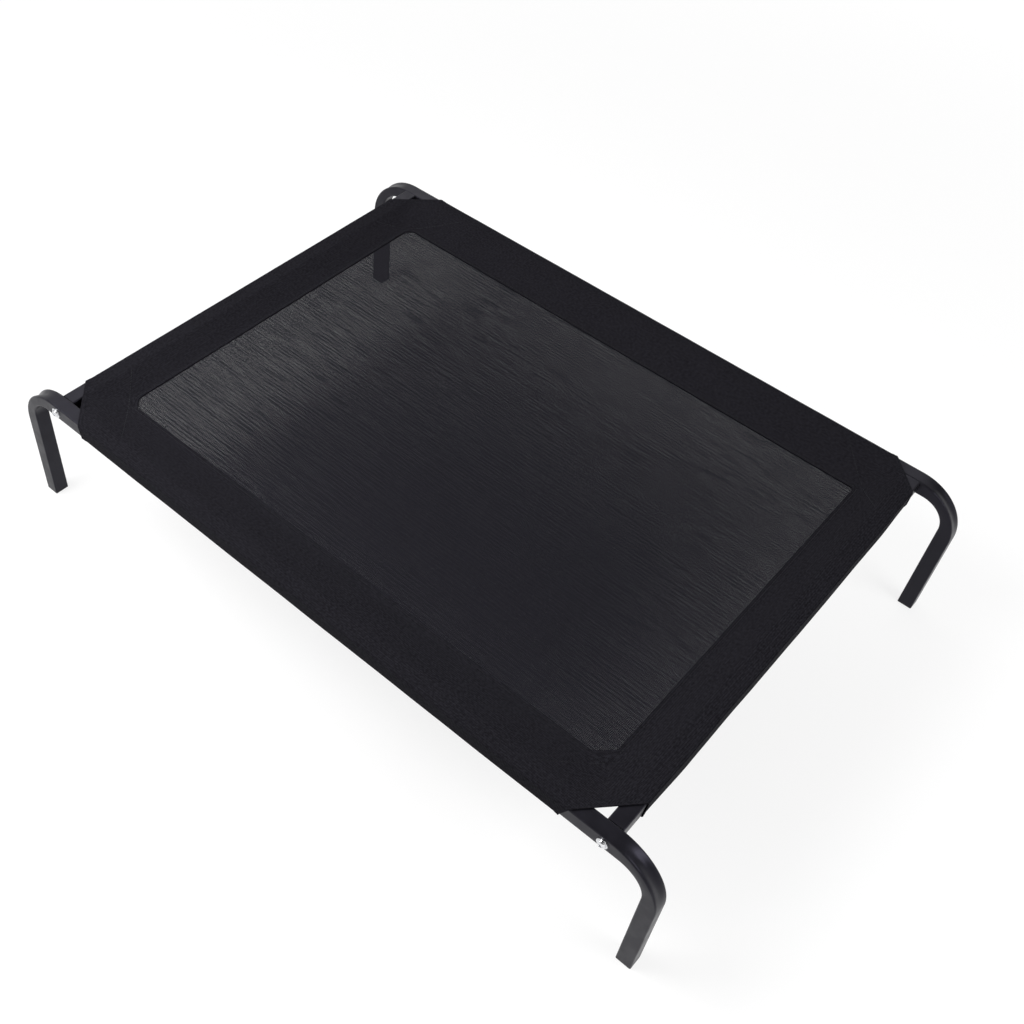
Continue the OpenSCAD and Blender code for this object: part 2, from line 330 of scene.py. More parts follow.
class Effects:
    """Shader node groups that several finishes share, each built once."""

    # Values of a noise texture that are taken as its lowest and highest
    NOISE_ENDS = (0.3, 0.7)

    def __init__(self) -> None:
        """Builds every group."""
        self.weave = self._weave()
        self.streaks = self._streaks()
        self.mottle = self._mottle()
        self.grain = self._grain()

    @staticmethod
    def _group(name: str, takes: dict[str, str], gives: dict[str, str]) -> GroupStart:
        """Starts a group.

        Args:
            name: Name of the group.
            takes: Input names and socket types.
            gives: Output names and socket types.

        Returns:
            The graph, what it takes, found by name, and its output node.
        """
        tree = bpy.data.node_groups.new(name, "ShaderNodeTree")
        for direction, sockets in (("INPUT", takes), ("OUTPUT", gives)):
            for socket, kind in sockets.items():
                tree.interface.new_socket(name=socket, in_out=direction, socket_type=kind)
        graph = Graph(tree)
        return graph, graph.node("NodeGroupInput").outputs, graph.node("NodeGroupOutput")

    def _weave(self) -> bpy.types.NodeTree:
        """Plain weave of round yarns: the height of the yarns and the gaps between them.

        Returns:
            The group.
        """
        swing, level, clear_share = 0.4, 0.6, 0.6
        takes = {"Place": VECTOR, "Yarns Along": FLOAT, "Yarns Across": FLOAT, "Gap": FLOAT}
        g, taken, out = self._group("plain_weave", takes, {"Height": FLOAT, "Gaps": FLOAT})
        counted = g.parts(g.scaled(taken["Place"], taken["Yarns Along"], taken["Yarns Across"]))
        waves = [g.math("SINE", g.math("MULTIPLY", counted[axis], math.pi)) for axis in (0, 1)]
        warp, weft = (g.math("ABSOLUTE", wave) for wave in waves)
        over = g.math("MULTIPLY", g.math("MULTIPLY", *waves), swing)
        raised = g.math("MULTIPLY", warp, g.math("ADD", over, level))
        sunk = g.math("MULTIPLY", weft, g.math("SUBTRACT", level, over))
        clear = g.math("MULTIPLY", taken["Gap"], clear_share)
        gaps = [g.ranged(yarn, clear, taken["Gap"], 1.0, 0.0) for yarn in (warp, weft)]
        g.feeds(out, Height=g.math("MAXIMUM", raised, sunk), Gaps=g.math("MULTIPLY", *gaps))
        return g.tree

    def _streaks(self) -> bpy.types.NodeTree:
        """Uneven yarns: long thin streaks that run along the cloth, and ribs that wander a little.

        Returns:
            The group.
        """
        wander, rib_share, ends = 0.06, 0.11, (0.28, 0.72)
        takes = {"Place": VECTOR, "Along": FLOAT, "Across": FLOAT, "Ribs": FLOAT}
        g, taken, out = self._group("yarn_streaks", takes, {"Streaks": FLOAT})
        drawn = g.scaled(taken["Place"], taken["Along"], taken["Across"], 1.0)
        fine = g.noise(drawn, 1.0, 1.0)
        counted = g.math("MULTIPLY", g.parts(taken["Place"])[1], taken["Ribs"])
        wandered = g.math("ADD", counted, g.noise(drawn, wander, 0.0))
        ribs = g.math("SINE", g.math("MULTIPLY", wandered, 2 * math.pi))
        both = g.math("ADD", fine, g.math("MULTIPLY", ribs, rib_share))
        g.feeds(out, Streaks=g.ranged(both, *ends, 0.0, 1.0))
        return g.tree

    def _mottle(self) -> bpy.types.NodeTree:
        """Slow change of tone over a surface, between two colours.

        Returns:
            The group.
        """
        detail = 4.0
        takes = {"Place": VECTOR, "Scale": FLOAT, "Dark": COLOUR, "Light": COLOUR}
        g, taken, out = self._group("tone_mottle", takes, {"Color": COLOUR, "Share": FLOAT})
        tone = g.noise(taken["Place"], taken["Scale"], detail)
        share = g.ranged(tone, *self.NOISE_ENDS, 0.0, 1.0)
        g.feeds(out, Share=share, Color=g.blend(share, taken["Dark"], taken["Light"]))
        return g.tree

    def _grain(self) -> bpy.types.NodeTree:
        """Fine skin of a coat, moulding or plating: pebbled height and a value for gloss.

        Returns:
            The group.
        """
        pebble_detail, gloss_detail, gloss_scale = 3.0, 5.0, 0.06
        takes = {"Place": VECTOR, "Scale": FLOAT}
        g, taken, out = self._group("fine_grain", takes, {"Height": FLOAT, "Gloss": FLOAT})
        pebbles = g.noise(taken["Place"], taken["Scale"], pebble_detail)
        slow = g.noise(taken["Place"], g.math("MULTIPLY", taken["Scale"], gloss_scale), gloss_detail)
        g.feeds(out, Height=pebbles, Gloss=g.ranged(slow, *self.NOISE_ENDS, 0.0, 1.0))
        return g.tree


@dataclass(frozen=True)
class Finish:
    """A finish: a material made once, from the effects that it needs."""

    name: str
    slot: str

    @staticmethod
    def shader(g: Graph) -> bpy.types.Node:
        """Adds the surface shader and its output.

        Args:
            g: The material's graph.

        Returns:
            The shader.
        """
        made = g.node("ShaderNodeBsdfPrincipled")
        g.node("ShaderNodeOutputMaterial", made.outputs[0])
        return made

    @staticmethod
    def bump(g: Graph, shader: bpy.types.Node, height: Socket, strength: float, depth: float) -> None:
        """Bumps the shader's normal by a height.

        Args:
            g: The material's graph.
            shader: The surface shader.
            height: Height from 0 to 1.
            strength: Strength of the bump.
            depth: Depth that a height of 1 stands for.
        """
        made = g.node("ShaderNodeBump")
        g.feeds(made, Strength=strength, Distance=depth, Height=height)
        g.feeds(shader, Normal=made.outputs[0])

    def material(self, effects: Effects) -> bpy.types.Material:
        """The finish's material.

        Args:
            effects: The shared node groups.

        Returns:
            The material, made the first time that it is asked for.
        """
        made = bpy.data.materials.get(self.name)
        if made is None:
            made = bpy.data.materials.new(self.name)
            made.use_nodes = True
            self.paint(Graph(made.node_tree), effects)
        return made

    def paint(self, g: Graph, effects: Effects) -> None:
        """Builds the finish's nodes; each kind of finish has its own."""
        raise NotImplementedError


@dataclass(frozen=True)
class SkinFinish(Finish):
    """A smooth hard skin with fine grain: a coat, a moulding or a plating."""

    dark: Colour
    light: Colour
    gloss: Pair
    specular: float = 0.5
    # Tint of the reflections; where it is violet, as on the coat and the cloth, it is painted cool light.
    tint: Colour = WHITE
    mottle_scale: float = 45.0
    grain_scale: float = 900.0
    grain_strength: float = 0.2
    grain_depth: float = 0.00006
    metallic: float = 0.0
    rubbed: Colour | None = None
    rubbed_gloss: float = 0.0

    def paint(self, g: Graph, effects: Effects) -> None:
        """Builds the skin: mottled tone, grained gloss and bump, and polish along rubbed edges.

        Args:
            g: The material's graph.
            effects: The shared node groups.
        """
        shader = self.shader(g)
        place = g.place("Object")
        tone = g.group(effects.mottle, Place=place, Scale=self.mottle_scale, Dark=self.dark, Light=self.light)
        grain = g.group(effects.grain, Place=place, Scale=self.grain_scale)
        colour = tone["Color"]
        rough = g.ranged(grain["Gloss"], 0.0, 1.0, *self.gloss)
        if self.rubbed is not None:
            share = g.math("MULTIPLY", g.attribute(EDGE_RUB, "Fac"), tone["Share"])
            colour = g.blend(share, colour, self.rubbed)
            rough = g.math("SUBTRACT", rough, g.math("MULTIPLY", share, self.rubbed_gloss))
        g.feeds(shader, Base_Color=colour, Roughness=rough, Metallic=self.metallic)
        g.feeds(shader, Specular_IOR_Level=self.specular, Specular_Tint=self.tint)
        self.bump(g, shader, grain["Height"], self.grain_strength, self.grain_depth)


@dataclass(frozen=True)
class WovenFinish(Finish):
    """Woven coated yarn, open for the mesh or doubled and closed for the bands.

    Yarns, streaks and ribs are counted for each metre. Along calm_span, in X, the open weave goes from the
    first to the second unevenness.
    """

    dark: Colour
    light: Colour
    # Dark colour of the closed weave's gaps: painted shade between the yarns.
    gap_shade: Colour
    roughness: Pair
    yarns_along: float
    yarns_across: float
    gap: float
    streak_gain: float
    specular: float
    streak_along: float = 17.0
    streak_across: float = 500.0
    ribs: float = 172.0
    tone_scale: float = 24.0
    tone_share: float = 0.2
    fleck_scale: float = 400.0
    fleck_squeeze: float = 0.6
    weave_strength: float = 0.6
    weave_depth: float = 0.00025
    # Violet tint of the cloth's reflections: painted cool light.
    tint: Colour = (0.87, 0.84, 1.0)
    is_open: bool = False
    opening: float = 0.875
    calm_span: Pair = (-0.20, 0.25)
    unevenness: Pair = (1.15, 0.75)
    # Share of the gaps left open to shadow and diffuse rays, which deepens the shade under the cot as painted
    # shade.
    shadow_ray_share: float = 0.15

    def paint(self, g: Graph, effects: Effects) -> None:
        """Builds the weave: yarn tone, uneven streaks, gaps that are open or painted dark as shade between
        the yarns, and bump.

        Args:
            g: The material's graph.
            effects: The shared node groups.
        """
        shader = self.shader(g)
        place = g.attribute(CLOTH_COORDINATES, "Vector")
        weave = g.group(effects.weave, Place=place, Yarns_Along=self.yarns_along,
                        Yarns_Across=self.yarns_across, Gap=self.gap)
        streaks = g.group(effects.streaks, Place=place, Along=self.streak_along, Across=self.streak_across,
                          Ribs=self.ribs)["Streaks"]
        share = self.tone_share
        soft = tuple((1.0 - share) * low + share * high for low, high in zip(self.dark, self.light))
        tone = g.group(effects.mottle, Place=place, Scale=self.tone_scale, Dark=self.dark, Light=soft)
        squeezed = g.scaled(place, self.fleck_squeeze, 1.0)
        flecks = g.group(effects.mottle, Place=squeezed, Scale=self.fleck_scale, Dark=tone["Color"],
                         Light=self.light)
        yarn = g.blend(g.math("MULTIPLY", streaks, self.streak_gain), flecks["Color"], self.light)
        if self.is_open:
            g.feeds(shader, Base_Color=yarn, Alpha=self._alpha(g, place, weave["Gaps"], streaks))
        else:
            # On the closed bands the gaps take the dark gap colour, which is painted shade between the yarns.
            g.feeds(shader, Base_Color=g.blend(weave["Gaps"], yarn, self.gap_shade))
        crown, root = self.roughness
        g.feeds(shader, Roughness=g.ranged(weave["Height"], 0.0, 1.0, root, crown))
        g.feeds(shader, Specular_IOR_Level=self.specular, Specular_Tint=self.tint)
        self.bump(g, shader, weave["Height"], self.weave_strength, self.weave_depth)

    def _alpha(self, g: Graph, place: Socket, gaps: Socket, streaks: Socket) -> Socket:
        """How closed the open weave is.

        Shadow and diffuse rays, whatever their slant, pass only a share of the gaps that a straight look sees
        through. This deepens the shade on the floor under the cot: a painted shade.

        Args:
            g: The material's graph.
            place: Place on the flat cloth.
            gaps: Where the gaps are, from 0 to 1.
            streaks: How uneven the yarns are, from 0 to 1.

        Returns:
            The socket with the alpha.
        """
        uneven = g.ranged(g.parts(place)[0], *self.calm_span, *self.unevenness)
        changed = g.math("MULTIPLY", g.math("SUBTRACT", streaks, 0.5), uneven)
        opened = g.math("MULTIPLY", gaps, g.math("ADD", changed, self.opening))
        # Shadow and diffuse rays find the gaps mostly closed: painted shade on the floor under the cot.
        ray = g.node("ShaderNodeLightPath").outputs
        shadow_or_diffuse_ray = g.math("MAXIMUM", ray["Is Shadow Ray"], ray["Is Diffuse Ray"])
        passed = g.ranged(shadow_or_diffuse_ray, 0.0, 1.0, 1.0, self.shadow_ray_share)
        return g.math("SUBTRACT", 1.0, g.math("MULTIPLY", g.math("MINIMUM", opened, 1.0), passed))


class Finishes:
    """Every finish of the cot."""

    # The coat's violet tint on its reflections is painted cool light.
    coat = SkinFinish(
        "black_powder_coat", "frame_coat", dark=(0.0044, 0.0042, 0.0053), light=(0.0062, 0.0060, 0.0076),
        gloss=(0.34, 0.42), specular=0.23, tint=(0.78, 0.75, 1.0), rubbed=(0.0130, 0.0128, 0.0150),
        rubbed_gloss=0.06)
    plating = SkinFinish(
        "bright_zinc_plate", "zinc_plate", dark=(0.60, 0.61, 0.63), light=(0.82, 0.82, 0.83),
        gloss=(0.16, 0.34), mottle_scale=260.0, grain_scale=1800.0, grain_strength=0.15, grain_depth=0.00003,
        metallic=1.0)
    steel = SkinFinish(
        "bare_mill_steel", "bare_steel", dark=(0.34, 0.34, 0.35), light=(0.48, 0.48, 0.49),
        gloss=(0.30, 0.50), mottle_scale=120.0, metallic=1.0)
    plastic = SkinFinish(
        "moulded_foot_plastic", "foot_plastic", dark=(0.010, 0.010, 0.0105), light=(0.015, 0.015, 0.0155),
        gloss=(0.42, 0.56), grain_scale=1500.0, grain_strength=0.35)
    # The band's dark gap colour is painted shade between its yarns.
    band = WovenFinish(
        "doubled_band_cloth", "band_cloth", dark=(0.0066, 0.0064, 0.0080), light=(0.0166, 0.0161, 0.0199),
        gap_shade=(0.0030, 0.0029, 0.0036), roughness=(0.62, 0.85), yarns_along=480.0, yarns_across=360.0,
        gap=0.62, streak_gain=0.1, specular=0.02)
    mesh = WovenFinish(
        "open_mesh_cloth", "mesh_cloth", dark=(0.0071, 0.0068, 0.0090), light=(0.0116, 0.0112, 0.0147),
        gap_shade=(0.0, 0.0, 0.0), roughness=(0.52, 0.75), yarns_along=760.0, yarns_across=560.0,
        gap=0.40, streak_gain=0.05, specular=0.055, is_open=True)
    thread = SkinFinish(
        "sewing_thread", "band_cloth", dark=(0.0080, 0.0077, 0.0097), light=(0.0125, 0.0121, 0.0150),
        gloss=(0.50, 0.65), specular=0.15, mottle_scale=300.0, grain_scale=2500.0, grain_strength=0.5)


@dataclass
class Piece:
    """Points and faces of one piece, gathered before it becomes an object."""

    name: str
    points: list[Point] = field(default_factory=list)
    faces: list[tuple[int, ...]] = field(default_factory=list)
    places: list[Point] = field(default_factory=list)
    rub: list[float] = field(default_factory=list)
    sharp_angle: float = math.radians(50.0)

    def add(self, point: Sequence[float], place: Point = (0.0, 0.0, 0.0), rub: float = 0.0) -> int:
        """Adds a point.

        Args:
            point: Where it is.
            place: Its place on the flat cloth.
            rub: How rubbed the surface is there, from 0 to 1.

        Returns:
            The point's number.
        """
        self.points.append(tuple(point))
        self.places.append(place)
        self.rub.append(rub)
        return len(self.points) - 1

    def skin(self, rows: Sequence[Sequence[int]], closed: bool = False) -> None:
        """Joins rows of points with faces.

        Args:
            rows: Rows of point numbers, all of one length.
            closed: True where each row is a ring.
        """
        for low, high in zip(rows, rows[1:]):
            count = len(low)
            for i in range(count if closed else count - 1):
                j = (i + 1) % count
                self.faces.append((low[i], low[j], high[j], high[i]))

    def rod(self, rings: Sequence[Sequence[int]]) -> None:
        """Joins rings of points into a rod and closes both its ends."""
        self.skin(rings, closed=True)
        self.faces += [tuple(rings[0]), tuple(reversed(rings[-1]))]

    def build(self, finish: Finish, effects: Effects, outward: bool = False) -> bpy.types.Object:
        """Makes the object, which rides on the cot.

        Args:
            finish: The piece's finish.
            effects: The shared node groups.
            outward: True to turn every face outwards, for a closed piece.

        Returns:
            The object, smooth shaded.
        """
        mesh = bpy.data.meshes.new(self.name)
        mesh.from_pydata(self.points, [], self.faces)
        place = mesh.attributes.new(CLOTH_COORDINATES, "FLOAT_VECTOR", "POINT")
        place.data.foreach_set("vector", [value for item in self.places for value in item])
        mesh.attributes.new(EDGE_RUB, "FLOAT", "POINT").data.foreach_set("value", self.rub)
        mesh.shade_smooth()
        shape = bmesh.new()
        shape.from_mesh(mesh)
        if outward:
            bmesh.ops.recalc_face_normals(shape, faces=shape.faces)
        for edge in shape.edges:
            edge.smooth = not edge.is_boundary
        shape.to_mesh(mesh)
        shape.free()
        if outward:
            mesh.set_sharp_from_angle(angle=self.sharp_angle)
        mesh.materials.append(finish.material(effects))
        made = bpy.data.objects.new(self.name, mesh)
        bpy.context.scene.collection.objects.link(made)
        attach(made, BODY)
        LOG.info("%s: %d faces, %s", self.name, len(self.faces), finish.name)
        return made


@dataclass(frozen=True)
class Station:
    """A place along a tube: the middle of its outer and inner walls there, and how the walls are pressed."""

    outer: Point
    inner: Point
    dish: float = 0.0
    bulge: float = 0.0


@dataclass
class SquareTube:
    """Skin of a square tube with rounded edges, along a line of stations."""

    sizes: CotSizes
    across: Vector
    dish_half: float = 0.0091
    least_radius: float = 0.0002
    wall_points: int = 19
    edge_steps: int = 5

    def _section(self, depth: float, grow: float, station: Station) -> Iterable[Point]:
        """Points round the tube at a station.

        Args:
            depth: Distance between the outer and the inner wall.
            grow: Distance by which the section is grown, less than 0 for the hollow.
            station: The station.

        Yields:
            Place from the inner to the outer wall, place across, and how rubbed the edge is.
        """
        half, deep = self.sizes.half + grow, depth / 2 + grow
        radius = max(self.sizes.edge_radius + grow, self.least_radius)
        corners = ((deep, half), (-deep, half), (-deep, -half), (deep, -half))
        for quarter, (along, side) in enumerate(corners):
            flat = (half if quarter % 2 == 0 else deep) - radius
            for place in spread(-flat, flat, self.wall_points):
                if quarter == 0:
                    pressed = max(1.0 - (place / self.dish_half) ** 2, 0.0) ** 2 * station.dish
                    yield deep - pressed, place, 0.0
                elif quarter == 2:
                    yield -deep, -place, 0.0
                else:
                    sign = 1 if quarter == 1 else -1
                    yield -sign * place, (half + station.bulge * (1.0 - (place / deep) ** 2)) * sign, 0.0
            centre = (math.copysign(deep - radius, along), math.copysign(half - radius, side))
            start = 0.5 * math.pi * quarter
            for step in range(1, self.edge_steps):
                angle = start + 0.5 * math.pi * step / self.edge_steps
                worn = math.sin(math.pi * step / self.edge_steps)
                yield centre[0] + radius * math.cos(angle), centre[1] + radius * math.sin(angle), worn

    def _ring(self, piece: Piece, station: Station, grow: float) -> list[int]:
        """Adds the points round the tube at a station.

        Args:
            piece: The piece that takes the points.
            station: The station.
            grow: Distance by which the section is grown.

        Returns:
            The points' numbers.
        """
        outer, inner = Vector(station.outer), Vector(station.inner)
        way, middle = (outer - inner).normalized(), (outer + inner) / 2
        section = self._section((outer - inner).length, grow, station)
        return [piece.add(middle + way * deep + self.across * side, rub=worn) for deep, side, worn in section]

    def add_to(self, piece: Piece, stations: Sequence[Station]) -> None:
        """Adds the tube's outer skin, its hollow and the rims at both ends.

        Args:
            piece: The piece that takes the tube.
            stations: The stations from one end to the other.
        """
        skins = [[self._ring(piece, station, grow) for station in stations]
                 for grow in (0.0, -self.sizes.wall)]
        for rings in skins:
            piece.skin(rings, closed=True)
        for end in (0, -1):
            piece.skin([skins[0][end], skins[1][end]], closed=True)


@dataclass
class BentRail:
    """Half of a long rail with its leg: square tube, drawn flat and dished where it bends."""

    corner: CornerCut
    sizes: CotSizes
    effects: Effects
    inner_radius: float = 0.0385
    outer_radius: float = 0.0760
    dish_depth: float = 0.0021
    dish_margin: float = math.radians(4.0)
    side_bulge: float = 0.0006
    bend_steps: int = 60
    straight: float = 0.2
    lead: float = 0.03

    def _inner_wall(self, centre: Pair, angle: float) -> Pair:
        """Where a ray from the bend's outer centre meets the inner wall, in the plane of the bend.

        Args:
            centre: Centre of the outer arc.
            angle: Angle of the ray above the horizontal.

        Returns:
            The point along X and Z.
        """
        sizes = self.sizes
        low = (sizes.leg_x - sizes.half, sizes.rail_top - sizes.tube)
        middle = (low[0] - self.inner_radius, low[1] - self.inner_radius)
        way = (math.cos(angle), math.sin(angle))
        offset = (centre[0] - middle[0], centre[1] - middle[1])
        half_b = offset[0] * way[0] + offset[1] * way[1]
        reach = -half_b + math.sqrt(half_b ** 2 - offset[0] ** 2 - offset[1] ** 2 + self.inner_radius ** 2)
        met = (centre[0] + way[0] * reach, centre[1] + way[1] * reach)
        if met[0] < middle[0]:
            reach = (low[1] - centre[1]) / way[1]
        elif met[1] < middle[1]:
            reach = (low[0] - centre[0]) / way[0]
        return centre[0] + way[0] * reach, centre[1] + way[1] * reach

    def _stations(self) -> list[Station]:
        """Stations from the middle of the rail, round the bend and down the leg.

        Returns:
            The stations of the back right half rail, with the rail's middle at Y = 0.
        """
        sizes = self.sizes
        centre = (sizes.leg_x + sizes.half - self.outer_radius, sizes.rail_top - self.outer_radius)
        made = [Station((x, 0.0, sizes.rail_top), (x, 0.0, sizes.rail_top - sizes.tube))
                for x in (0.0, self.straight, centre[0] - self.lead)]
        for step in range(self.bend_steps + 1):
            angle = 0.5 * math.pi * (1.0 - step / self.bend_steps)
            inner_x, inner_z = self._inner_wall(centre, angle)
            outer_x = centre[0] + self.outer_radius * math.cos(angle)
            outer_z = centre[1] + self.outer_radius * math.sin(angle)
            share = (angle - self.dish_margin) / (0.5 * math.pi - 2 * self.dish_margin)
            pressed = math.sin(math.pi * min(max(share, 0.0), 1.0)) ** 2
            made.append(Station((outer_x, 0.0, outer_z), (inner_x, 0.0, inner_z),
                                self.dish_depth * pressed, self.side_bulge * pressed))
        outer_x, inner_x = sizes.leg_x + sizes.half, sizes.leg_x - sizes.half
        heights = (centre[1] - self.lead, sizes.foot_pad)
        return made + [Station((outer_x, 0.0, z), (inner_x, 0.0, z)) for z in heights]

    def build(self) -> None:
        """Builds the half rail in its corner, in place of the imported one."""
        piece = Piece(f"bent_rail_{self.corner.label}")
        SquareTube(self.sizes, Vector((0.0, 1.0, 0.0))).add_to(piece, self._stations())
        sx, sy = self.corner.signs
        piece.points = [(sx * x, sy * (self.sizes.rail_y + y), z) for x, y, z in piece.points]
        made = piece.build(Finishes.coat, self.effects, outward=True)
        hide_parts(f"leg_rail_{self.corner.label}")


@dataclass
class CrossRail:
    """Straight square tube between the two long rails."""

    side: Side
    sizes: CotSizes
    effects: Effects
    station_count: int = 5

    def build(self) -> None:
        """Builds the cross rail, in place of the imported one."""
        sizes = self.sizes
        x = math.copysign(sizes.cross_x, self.side.way[1])
        reach = sizes.rail_y - sizes.half
        piece = Piece(f"cross_tube_{self.side.label}")
        stations = [Station((x, y, sizes.rail_top), (x, y, sizes.rail_top - sizes.tube))
                    for y in spread(-reach, reach, self.station_count)]
        SquareTube(sizes, Vector((1.0, 0.0, 0.0))).add_to(piece, stations)
        made = piece.build(Finishes.coat, self.effects, outward=True)
        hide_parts(f"cross_rail_{self.side.label}")


@dataclass
class Hardware:
    """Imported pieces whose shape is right, which only take their finish."""

    effects: Effects
    finishes: dict[str, Finish] = field(default_factory=lambda: {
        "bolt": Finishes.plating,
        "washer": Finishes.plating,
        "insert": Finishes.steel,
        "splice": Finishes.steel,
        "foot_plug": Finishes.plastic,
    })

    def dress(self, nodes: dict[str, bpy.types.Object]) -> None:
        """Gives each bolt, washer, insert, splice and foot plug its finish.

        Args:
            nodes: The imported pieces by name.
        """
        for name, node in nodes.items():
            for kind, finish in self.finishes.items():
                if name.startswith(kind):
                    node.data.materials.clear()
                    node.data.materials.append(finish.material(self.effects))
                    LOG.info("%s: %s", name, finish.name)


@dataclass(frozen=True)
class Row:
    """A line of cloth along a band: how far it lies from the tube's middle, its height and its way outwards.

    Ply is 1 on the upper ply, -1 on the lower one and 0 round the tube. Share is 0 at the tube and 1 at the
    ply's edge. Under goes from 0 on the tube's top to 1 below it.
    """

    inward: float
    height: float
    out: Pair
    ply: int = 0
    share: float = 0.0
    under: float = 0.0


@dataclass
class Band:
    """Band of doubled cloth on one side: a sleeve round the tube whose two plies close on the mesh's edge.

    Names that end in run are lengths along the cloth, over which a form comes, goes or repeats. Those that
    end in shift move its noise from line to line. Names that end in rows say where lines of points lie: by
    share of the ply for edge_rows and ply_rows, which holds the first, the last and their number; by distance
    from the sewing for sewn_rows; and by share of the tube's half width or outer wall for top_rows and
    wall_rows.
    """

    side: Side
    sizes: CotSizes
    effects: Effects
    ply: float = 0.001
    clearance: float = 0.0002
    fold_radius: float = 0.0026
    fold_steps: int = 6
    mesh_thick: float = 0.0008
    seam_share: float = 0.82
    sewn_in: float = 0.0042
    ease: float = 0.05
    hollow: float = 1.12
    lap: float = 0.0006
    lap_drop: float = 0.0001
    lap_run: float = 0.003
    calm_run: float = 0.03
    pucker: float = 0.00035
    pucker_run: float = 0.0075
    gather_run: float = 0.010
    wave: float = 0.0006
    wave_run: float = 0.06
    wave_shift: float = 3.0
    pull: float = 0.0002
    pull_run: float = 0.017
    pull_shift: float = 2.0
    pull_ply_shift: float = 4.0
    tube_wave: float = 0.00018
    tube_wave_run: float = 0.05
    tube_wave_shift: float = 90.0
    groove: float = 0.0004
    groove_half: float = 0.0011
    slack: float = 0.0004
    overhang: float = 0.0
    loose_mean: float = 0.8
    loose_swing: float = 0.4
    loose_run: float = 0.09
    hem_radius: float = 0.00095
    hem_flatness: float = 1.15
    hem_sides: int = 8
    hem_width: float = 0.0048
    hem_edge: float = 0.0007
    hem_rise: float = 0.0005
    hem_column: float = 0.0023
    hem_columns: int = 8
    column: float = 0.0038
    held_share: float = 0.86
    end_run: float = 0.05
    rounds: int = 3
    crossing_ends: Pair = (0.01, 0.98)
    edge_rows: tuple[float, ...] = (1.0, 0.987, 0.85, 0.82, 0.79)
    sewn_rows: tuple[float, ...] = (-0.0024, -0.0014, -0.0007, 0.0, 0.0007, 0.0014, 0.0024)
    ply_rows: tuple[float, float, int] = (0.75, 0.05, 15)
    top_rows: tuple[float, ...] = (0.97, 0.88, 0.63, 0.21, -0.21, -0.63)
    wall_rows: tuple[float, ...] = (0.75, 0.375, 0.0, -0.375, -0.75)
    seed_step: float = 7.3

    def __post_init__(self) -> None:
        """Works out the band's own lines."""
        half = self.sizes.half
        self.line = self.sizes.tube_line(self.side)
        self.cross = self.sizes.cross_line(self.side)
        self.width = self.line - self.sizes.mesh_edge(self.side)
        self.inner = self.width - half
        self.end = self.sizes.mesh_end(self.side)
        self.lean = (self.cross - half - self.end) / self.inner
        self.reach = half + self.clearance + self.ply
        self.seed = self.seed_step * list(Side).index(self.side)

    def place(self, along: float, inward: float, height: float) -> Point:
        """Turns a place on the band into one on the cot.

        Args:
            along: Distance along the tube from the middle of the side.
            inward: Distance inwards from the tube's middle.
            height: Height above the floor.

        Returns:
            The point.
        """
        x, y = self.side.way
        across = self.line - inward
        return (x * along + y * across, y * along - x * across, height)

    def corner(self, along: float) -> CornerCut:
        """The cut at the nearer end of the side."""
        return self.side.cuts[end_of(along)]

    def height(self, along: float, inward: float, ply: int) -> float:
        """Height of a ply's outer face at a place in plan.

        A ply slopes from the tube to the seam. The upper one is drawn straight across each corner, from tube
        to tube, so it lies on the highest of its own slope, the next band's and the corner's, eased into one
        another.

        Args:
            along: Distance along the tube from the middle of the side.
            inward: Distance inwards from the tube's middle.
            ply: 1 for the upper ply, -1 for the lower one.

        Returns:
            The height above the floor.
        """
        half = self.sizes.half
        slopes = [max(1.0 - (inward - half) / self.inner / self.seam_share, 0.0)]
        if ply > 0:
            to_next, next_inner = self.cross - abs(along) - half, self.cross - self.end - half
            slopes.append(1.0 - to_next / next_inner / self.seam_share)
            sewn = self.line - self.width + self.end
            slopes.append((abs(along) + self.line - inward - sewn) / (self.corner(along).cut_sum - sewn))
        top = max(slopes)
        eased = top + self.ease * math.log(sum(math.exp((slope - top) / self.ease) for slope in slopes))
        seam = self.sizes.mesh_z + ply * (self.mesh_thick / 2 + self.ply)
        tube = self.sizes.rail_mid + ply * self.reach
        return seam + (tube - seam) * min(eased, 1.0) ** self.hollow

    def ply_row(self, inward: float, share: float, ply: int, along: float = 0.0) -> Row:
        """Line of a ply, with its height at a place along the band."""
        return Row(inward, self.height(along, inward, ply), (0.0, float(ply)), ply, share, under_tube(ply))

    def rows(self) -> list[Row]:
        """Lines of the cloth's outer face.

        Returns:
            The lines from the upper ply's edge round the tube to the lower ply's edge.
        """
        half, reach, radius = self.sizes.half, self.reach, self.fold_radius
        mid, flat = self.sizes.rail_mid, reach - radius
        sewn = [1.0 - (self.sewn_in + step) / self.inner for step in self.sewn_rows]
        shares = [*self.edge_rows, *sewn, *spread(*self.ply_rows)]
        plies, folds = {}, {}
        for ply, turn in ((1, 90.0), (-1, 180.0)):
            found = sorted(shares + self.crossings(ply), reverse=True)
            plies[ply] = [self.ply_row(half + share * self.inner, share, ply) for share in found]
            folds[ply] = []
            for step in range(self.fold_steps + 1):
                angle = math.radians(turn + 90.0 * step / self.fold_steps)
                out = (math.cos(angle), math.sin(angle))
                inward, height = -flat + radius * out[0], mid + ply * flat + radius * out[1]
                folds[ply].append(Row(inward, height, out, under=under_tube(ply)))
        top = [Row(half * share, mid + reach, (0.0, 1.0)) for share in self.top_rows]
        foot = [Row(row.inward, mid - reach, (0.0, -1.0), under=1.0) for row in reversed(top)]
        wall = [Row(-reach, mid + rise * flat, (-1.0, 0.0), under=under_tube(rise))
                for rise in self.wall_rows]
        return plies[1] + top + folds[1] + wall + folds[-1] + foot + plies[-1][::-1]

    def edge(self, along: float) -> float:
        """How far in the band's edge lies, which hides a small corner of the mesh at each end."""
        return self.width + max(abs(along) - (self.end - self.corner(along).mesh_corner), 0.0)

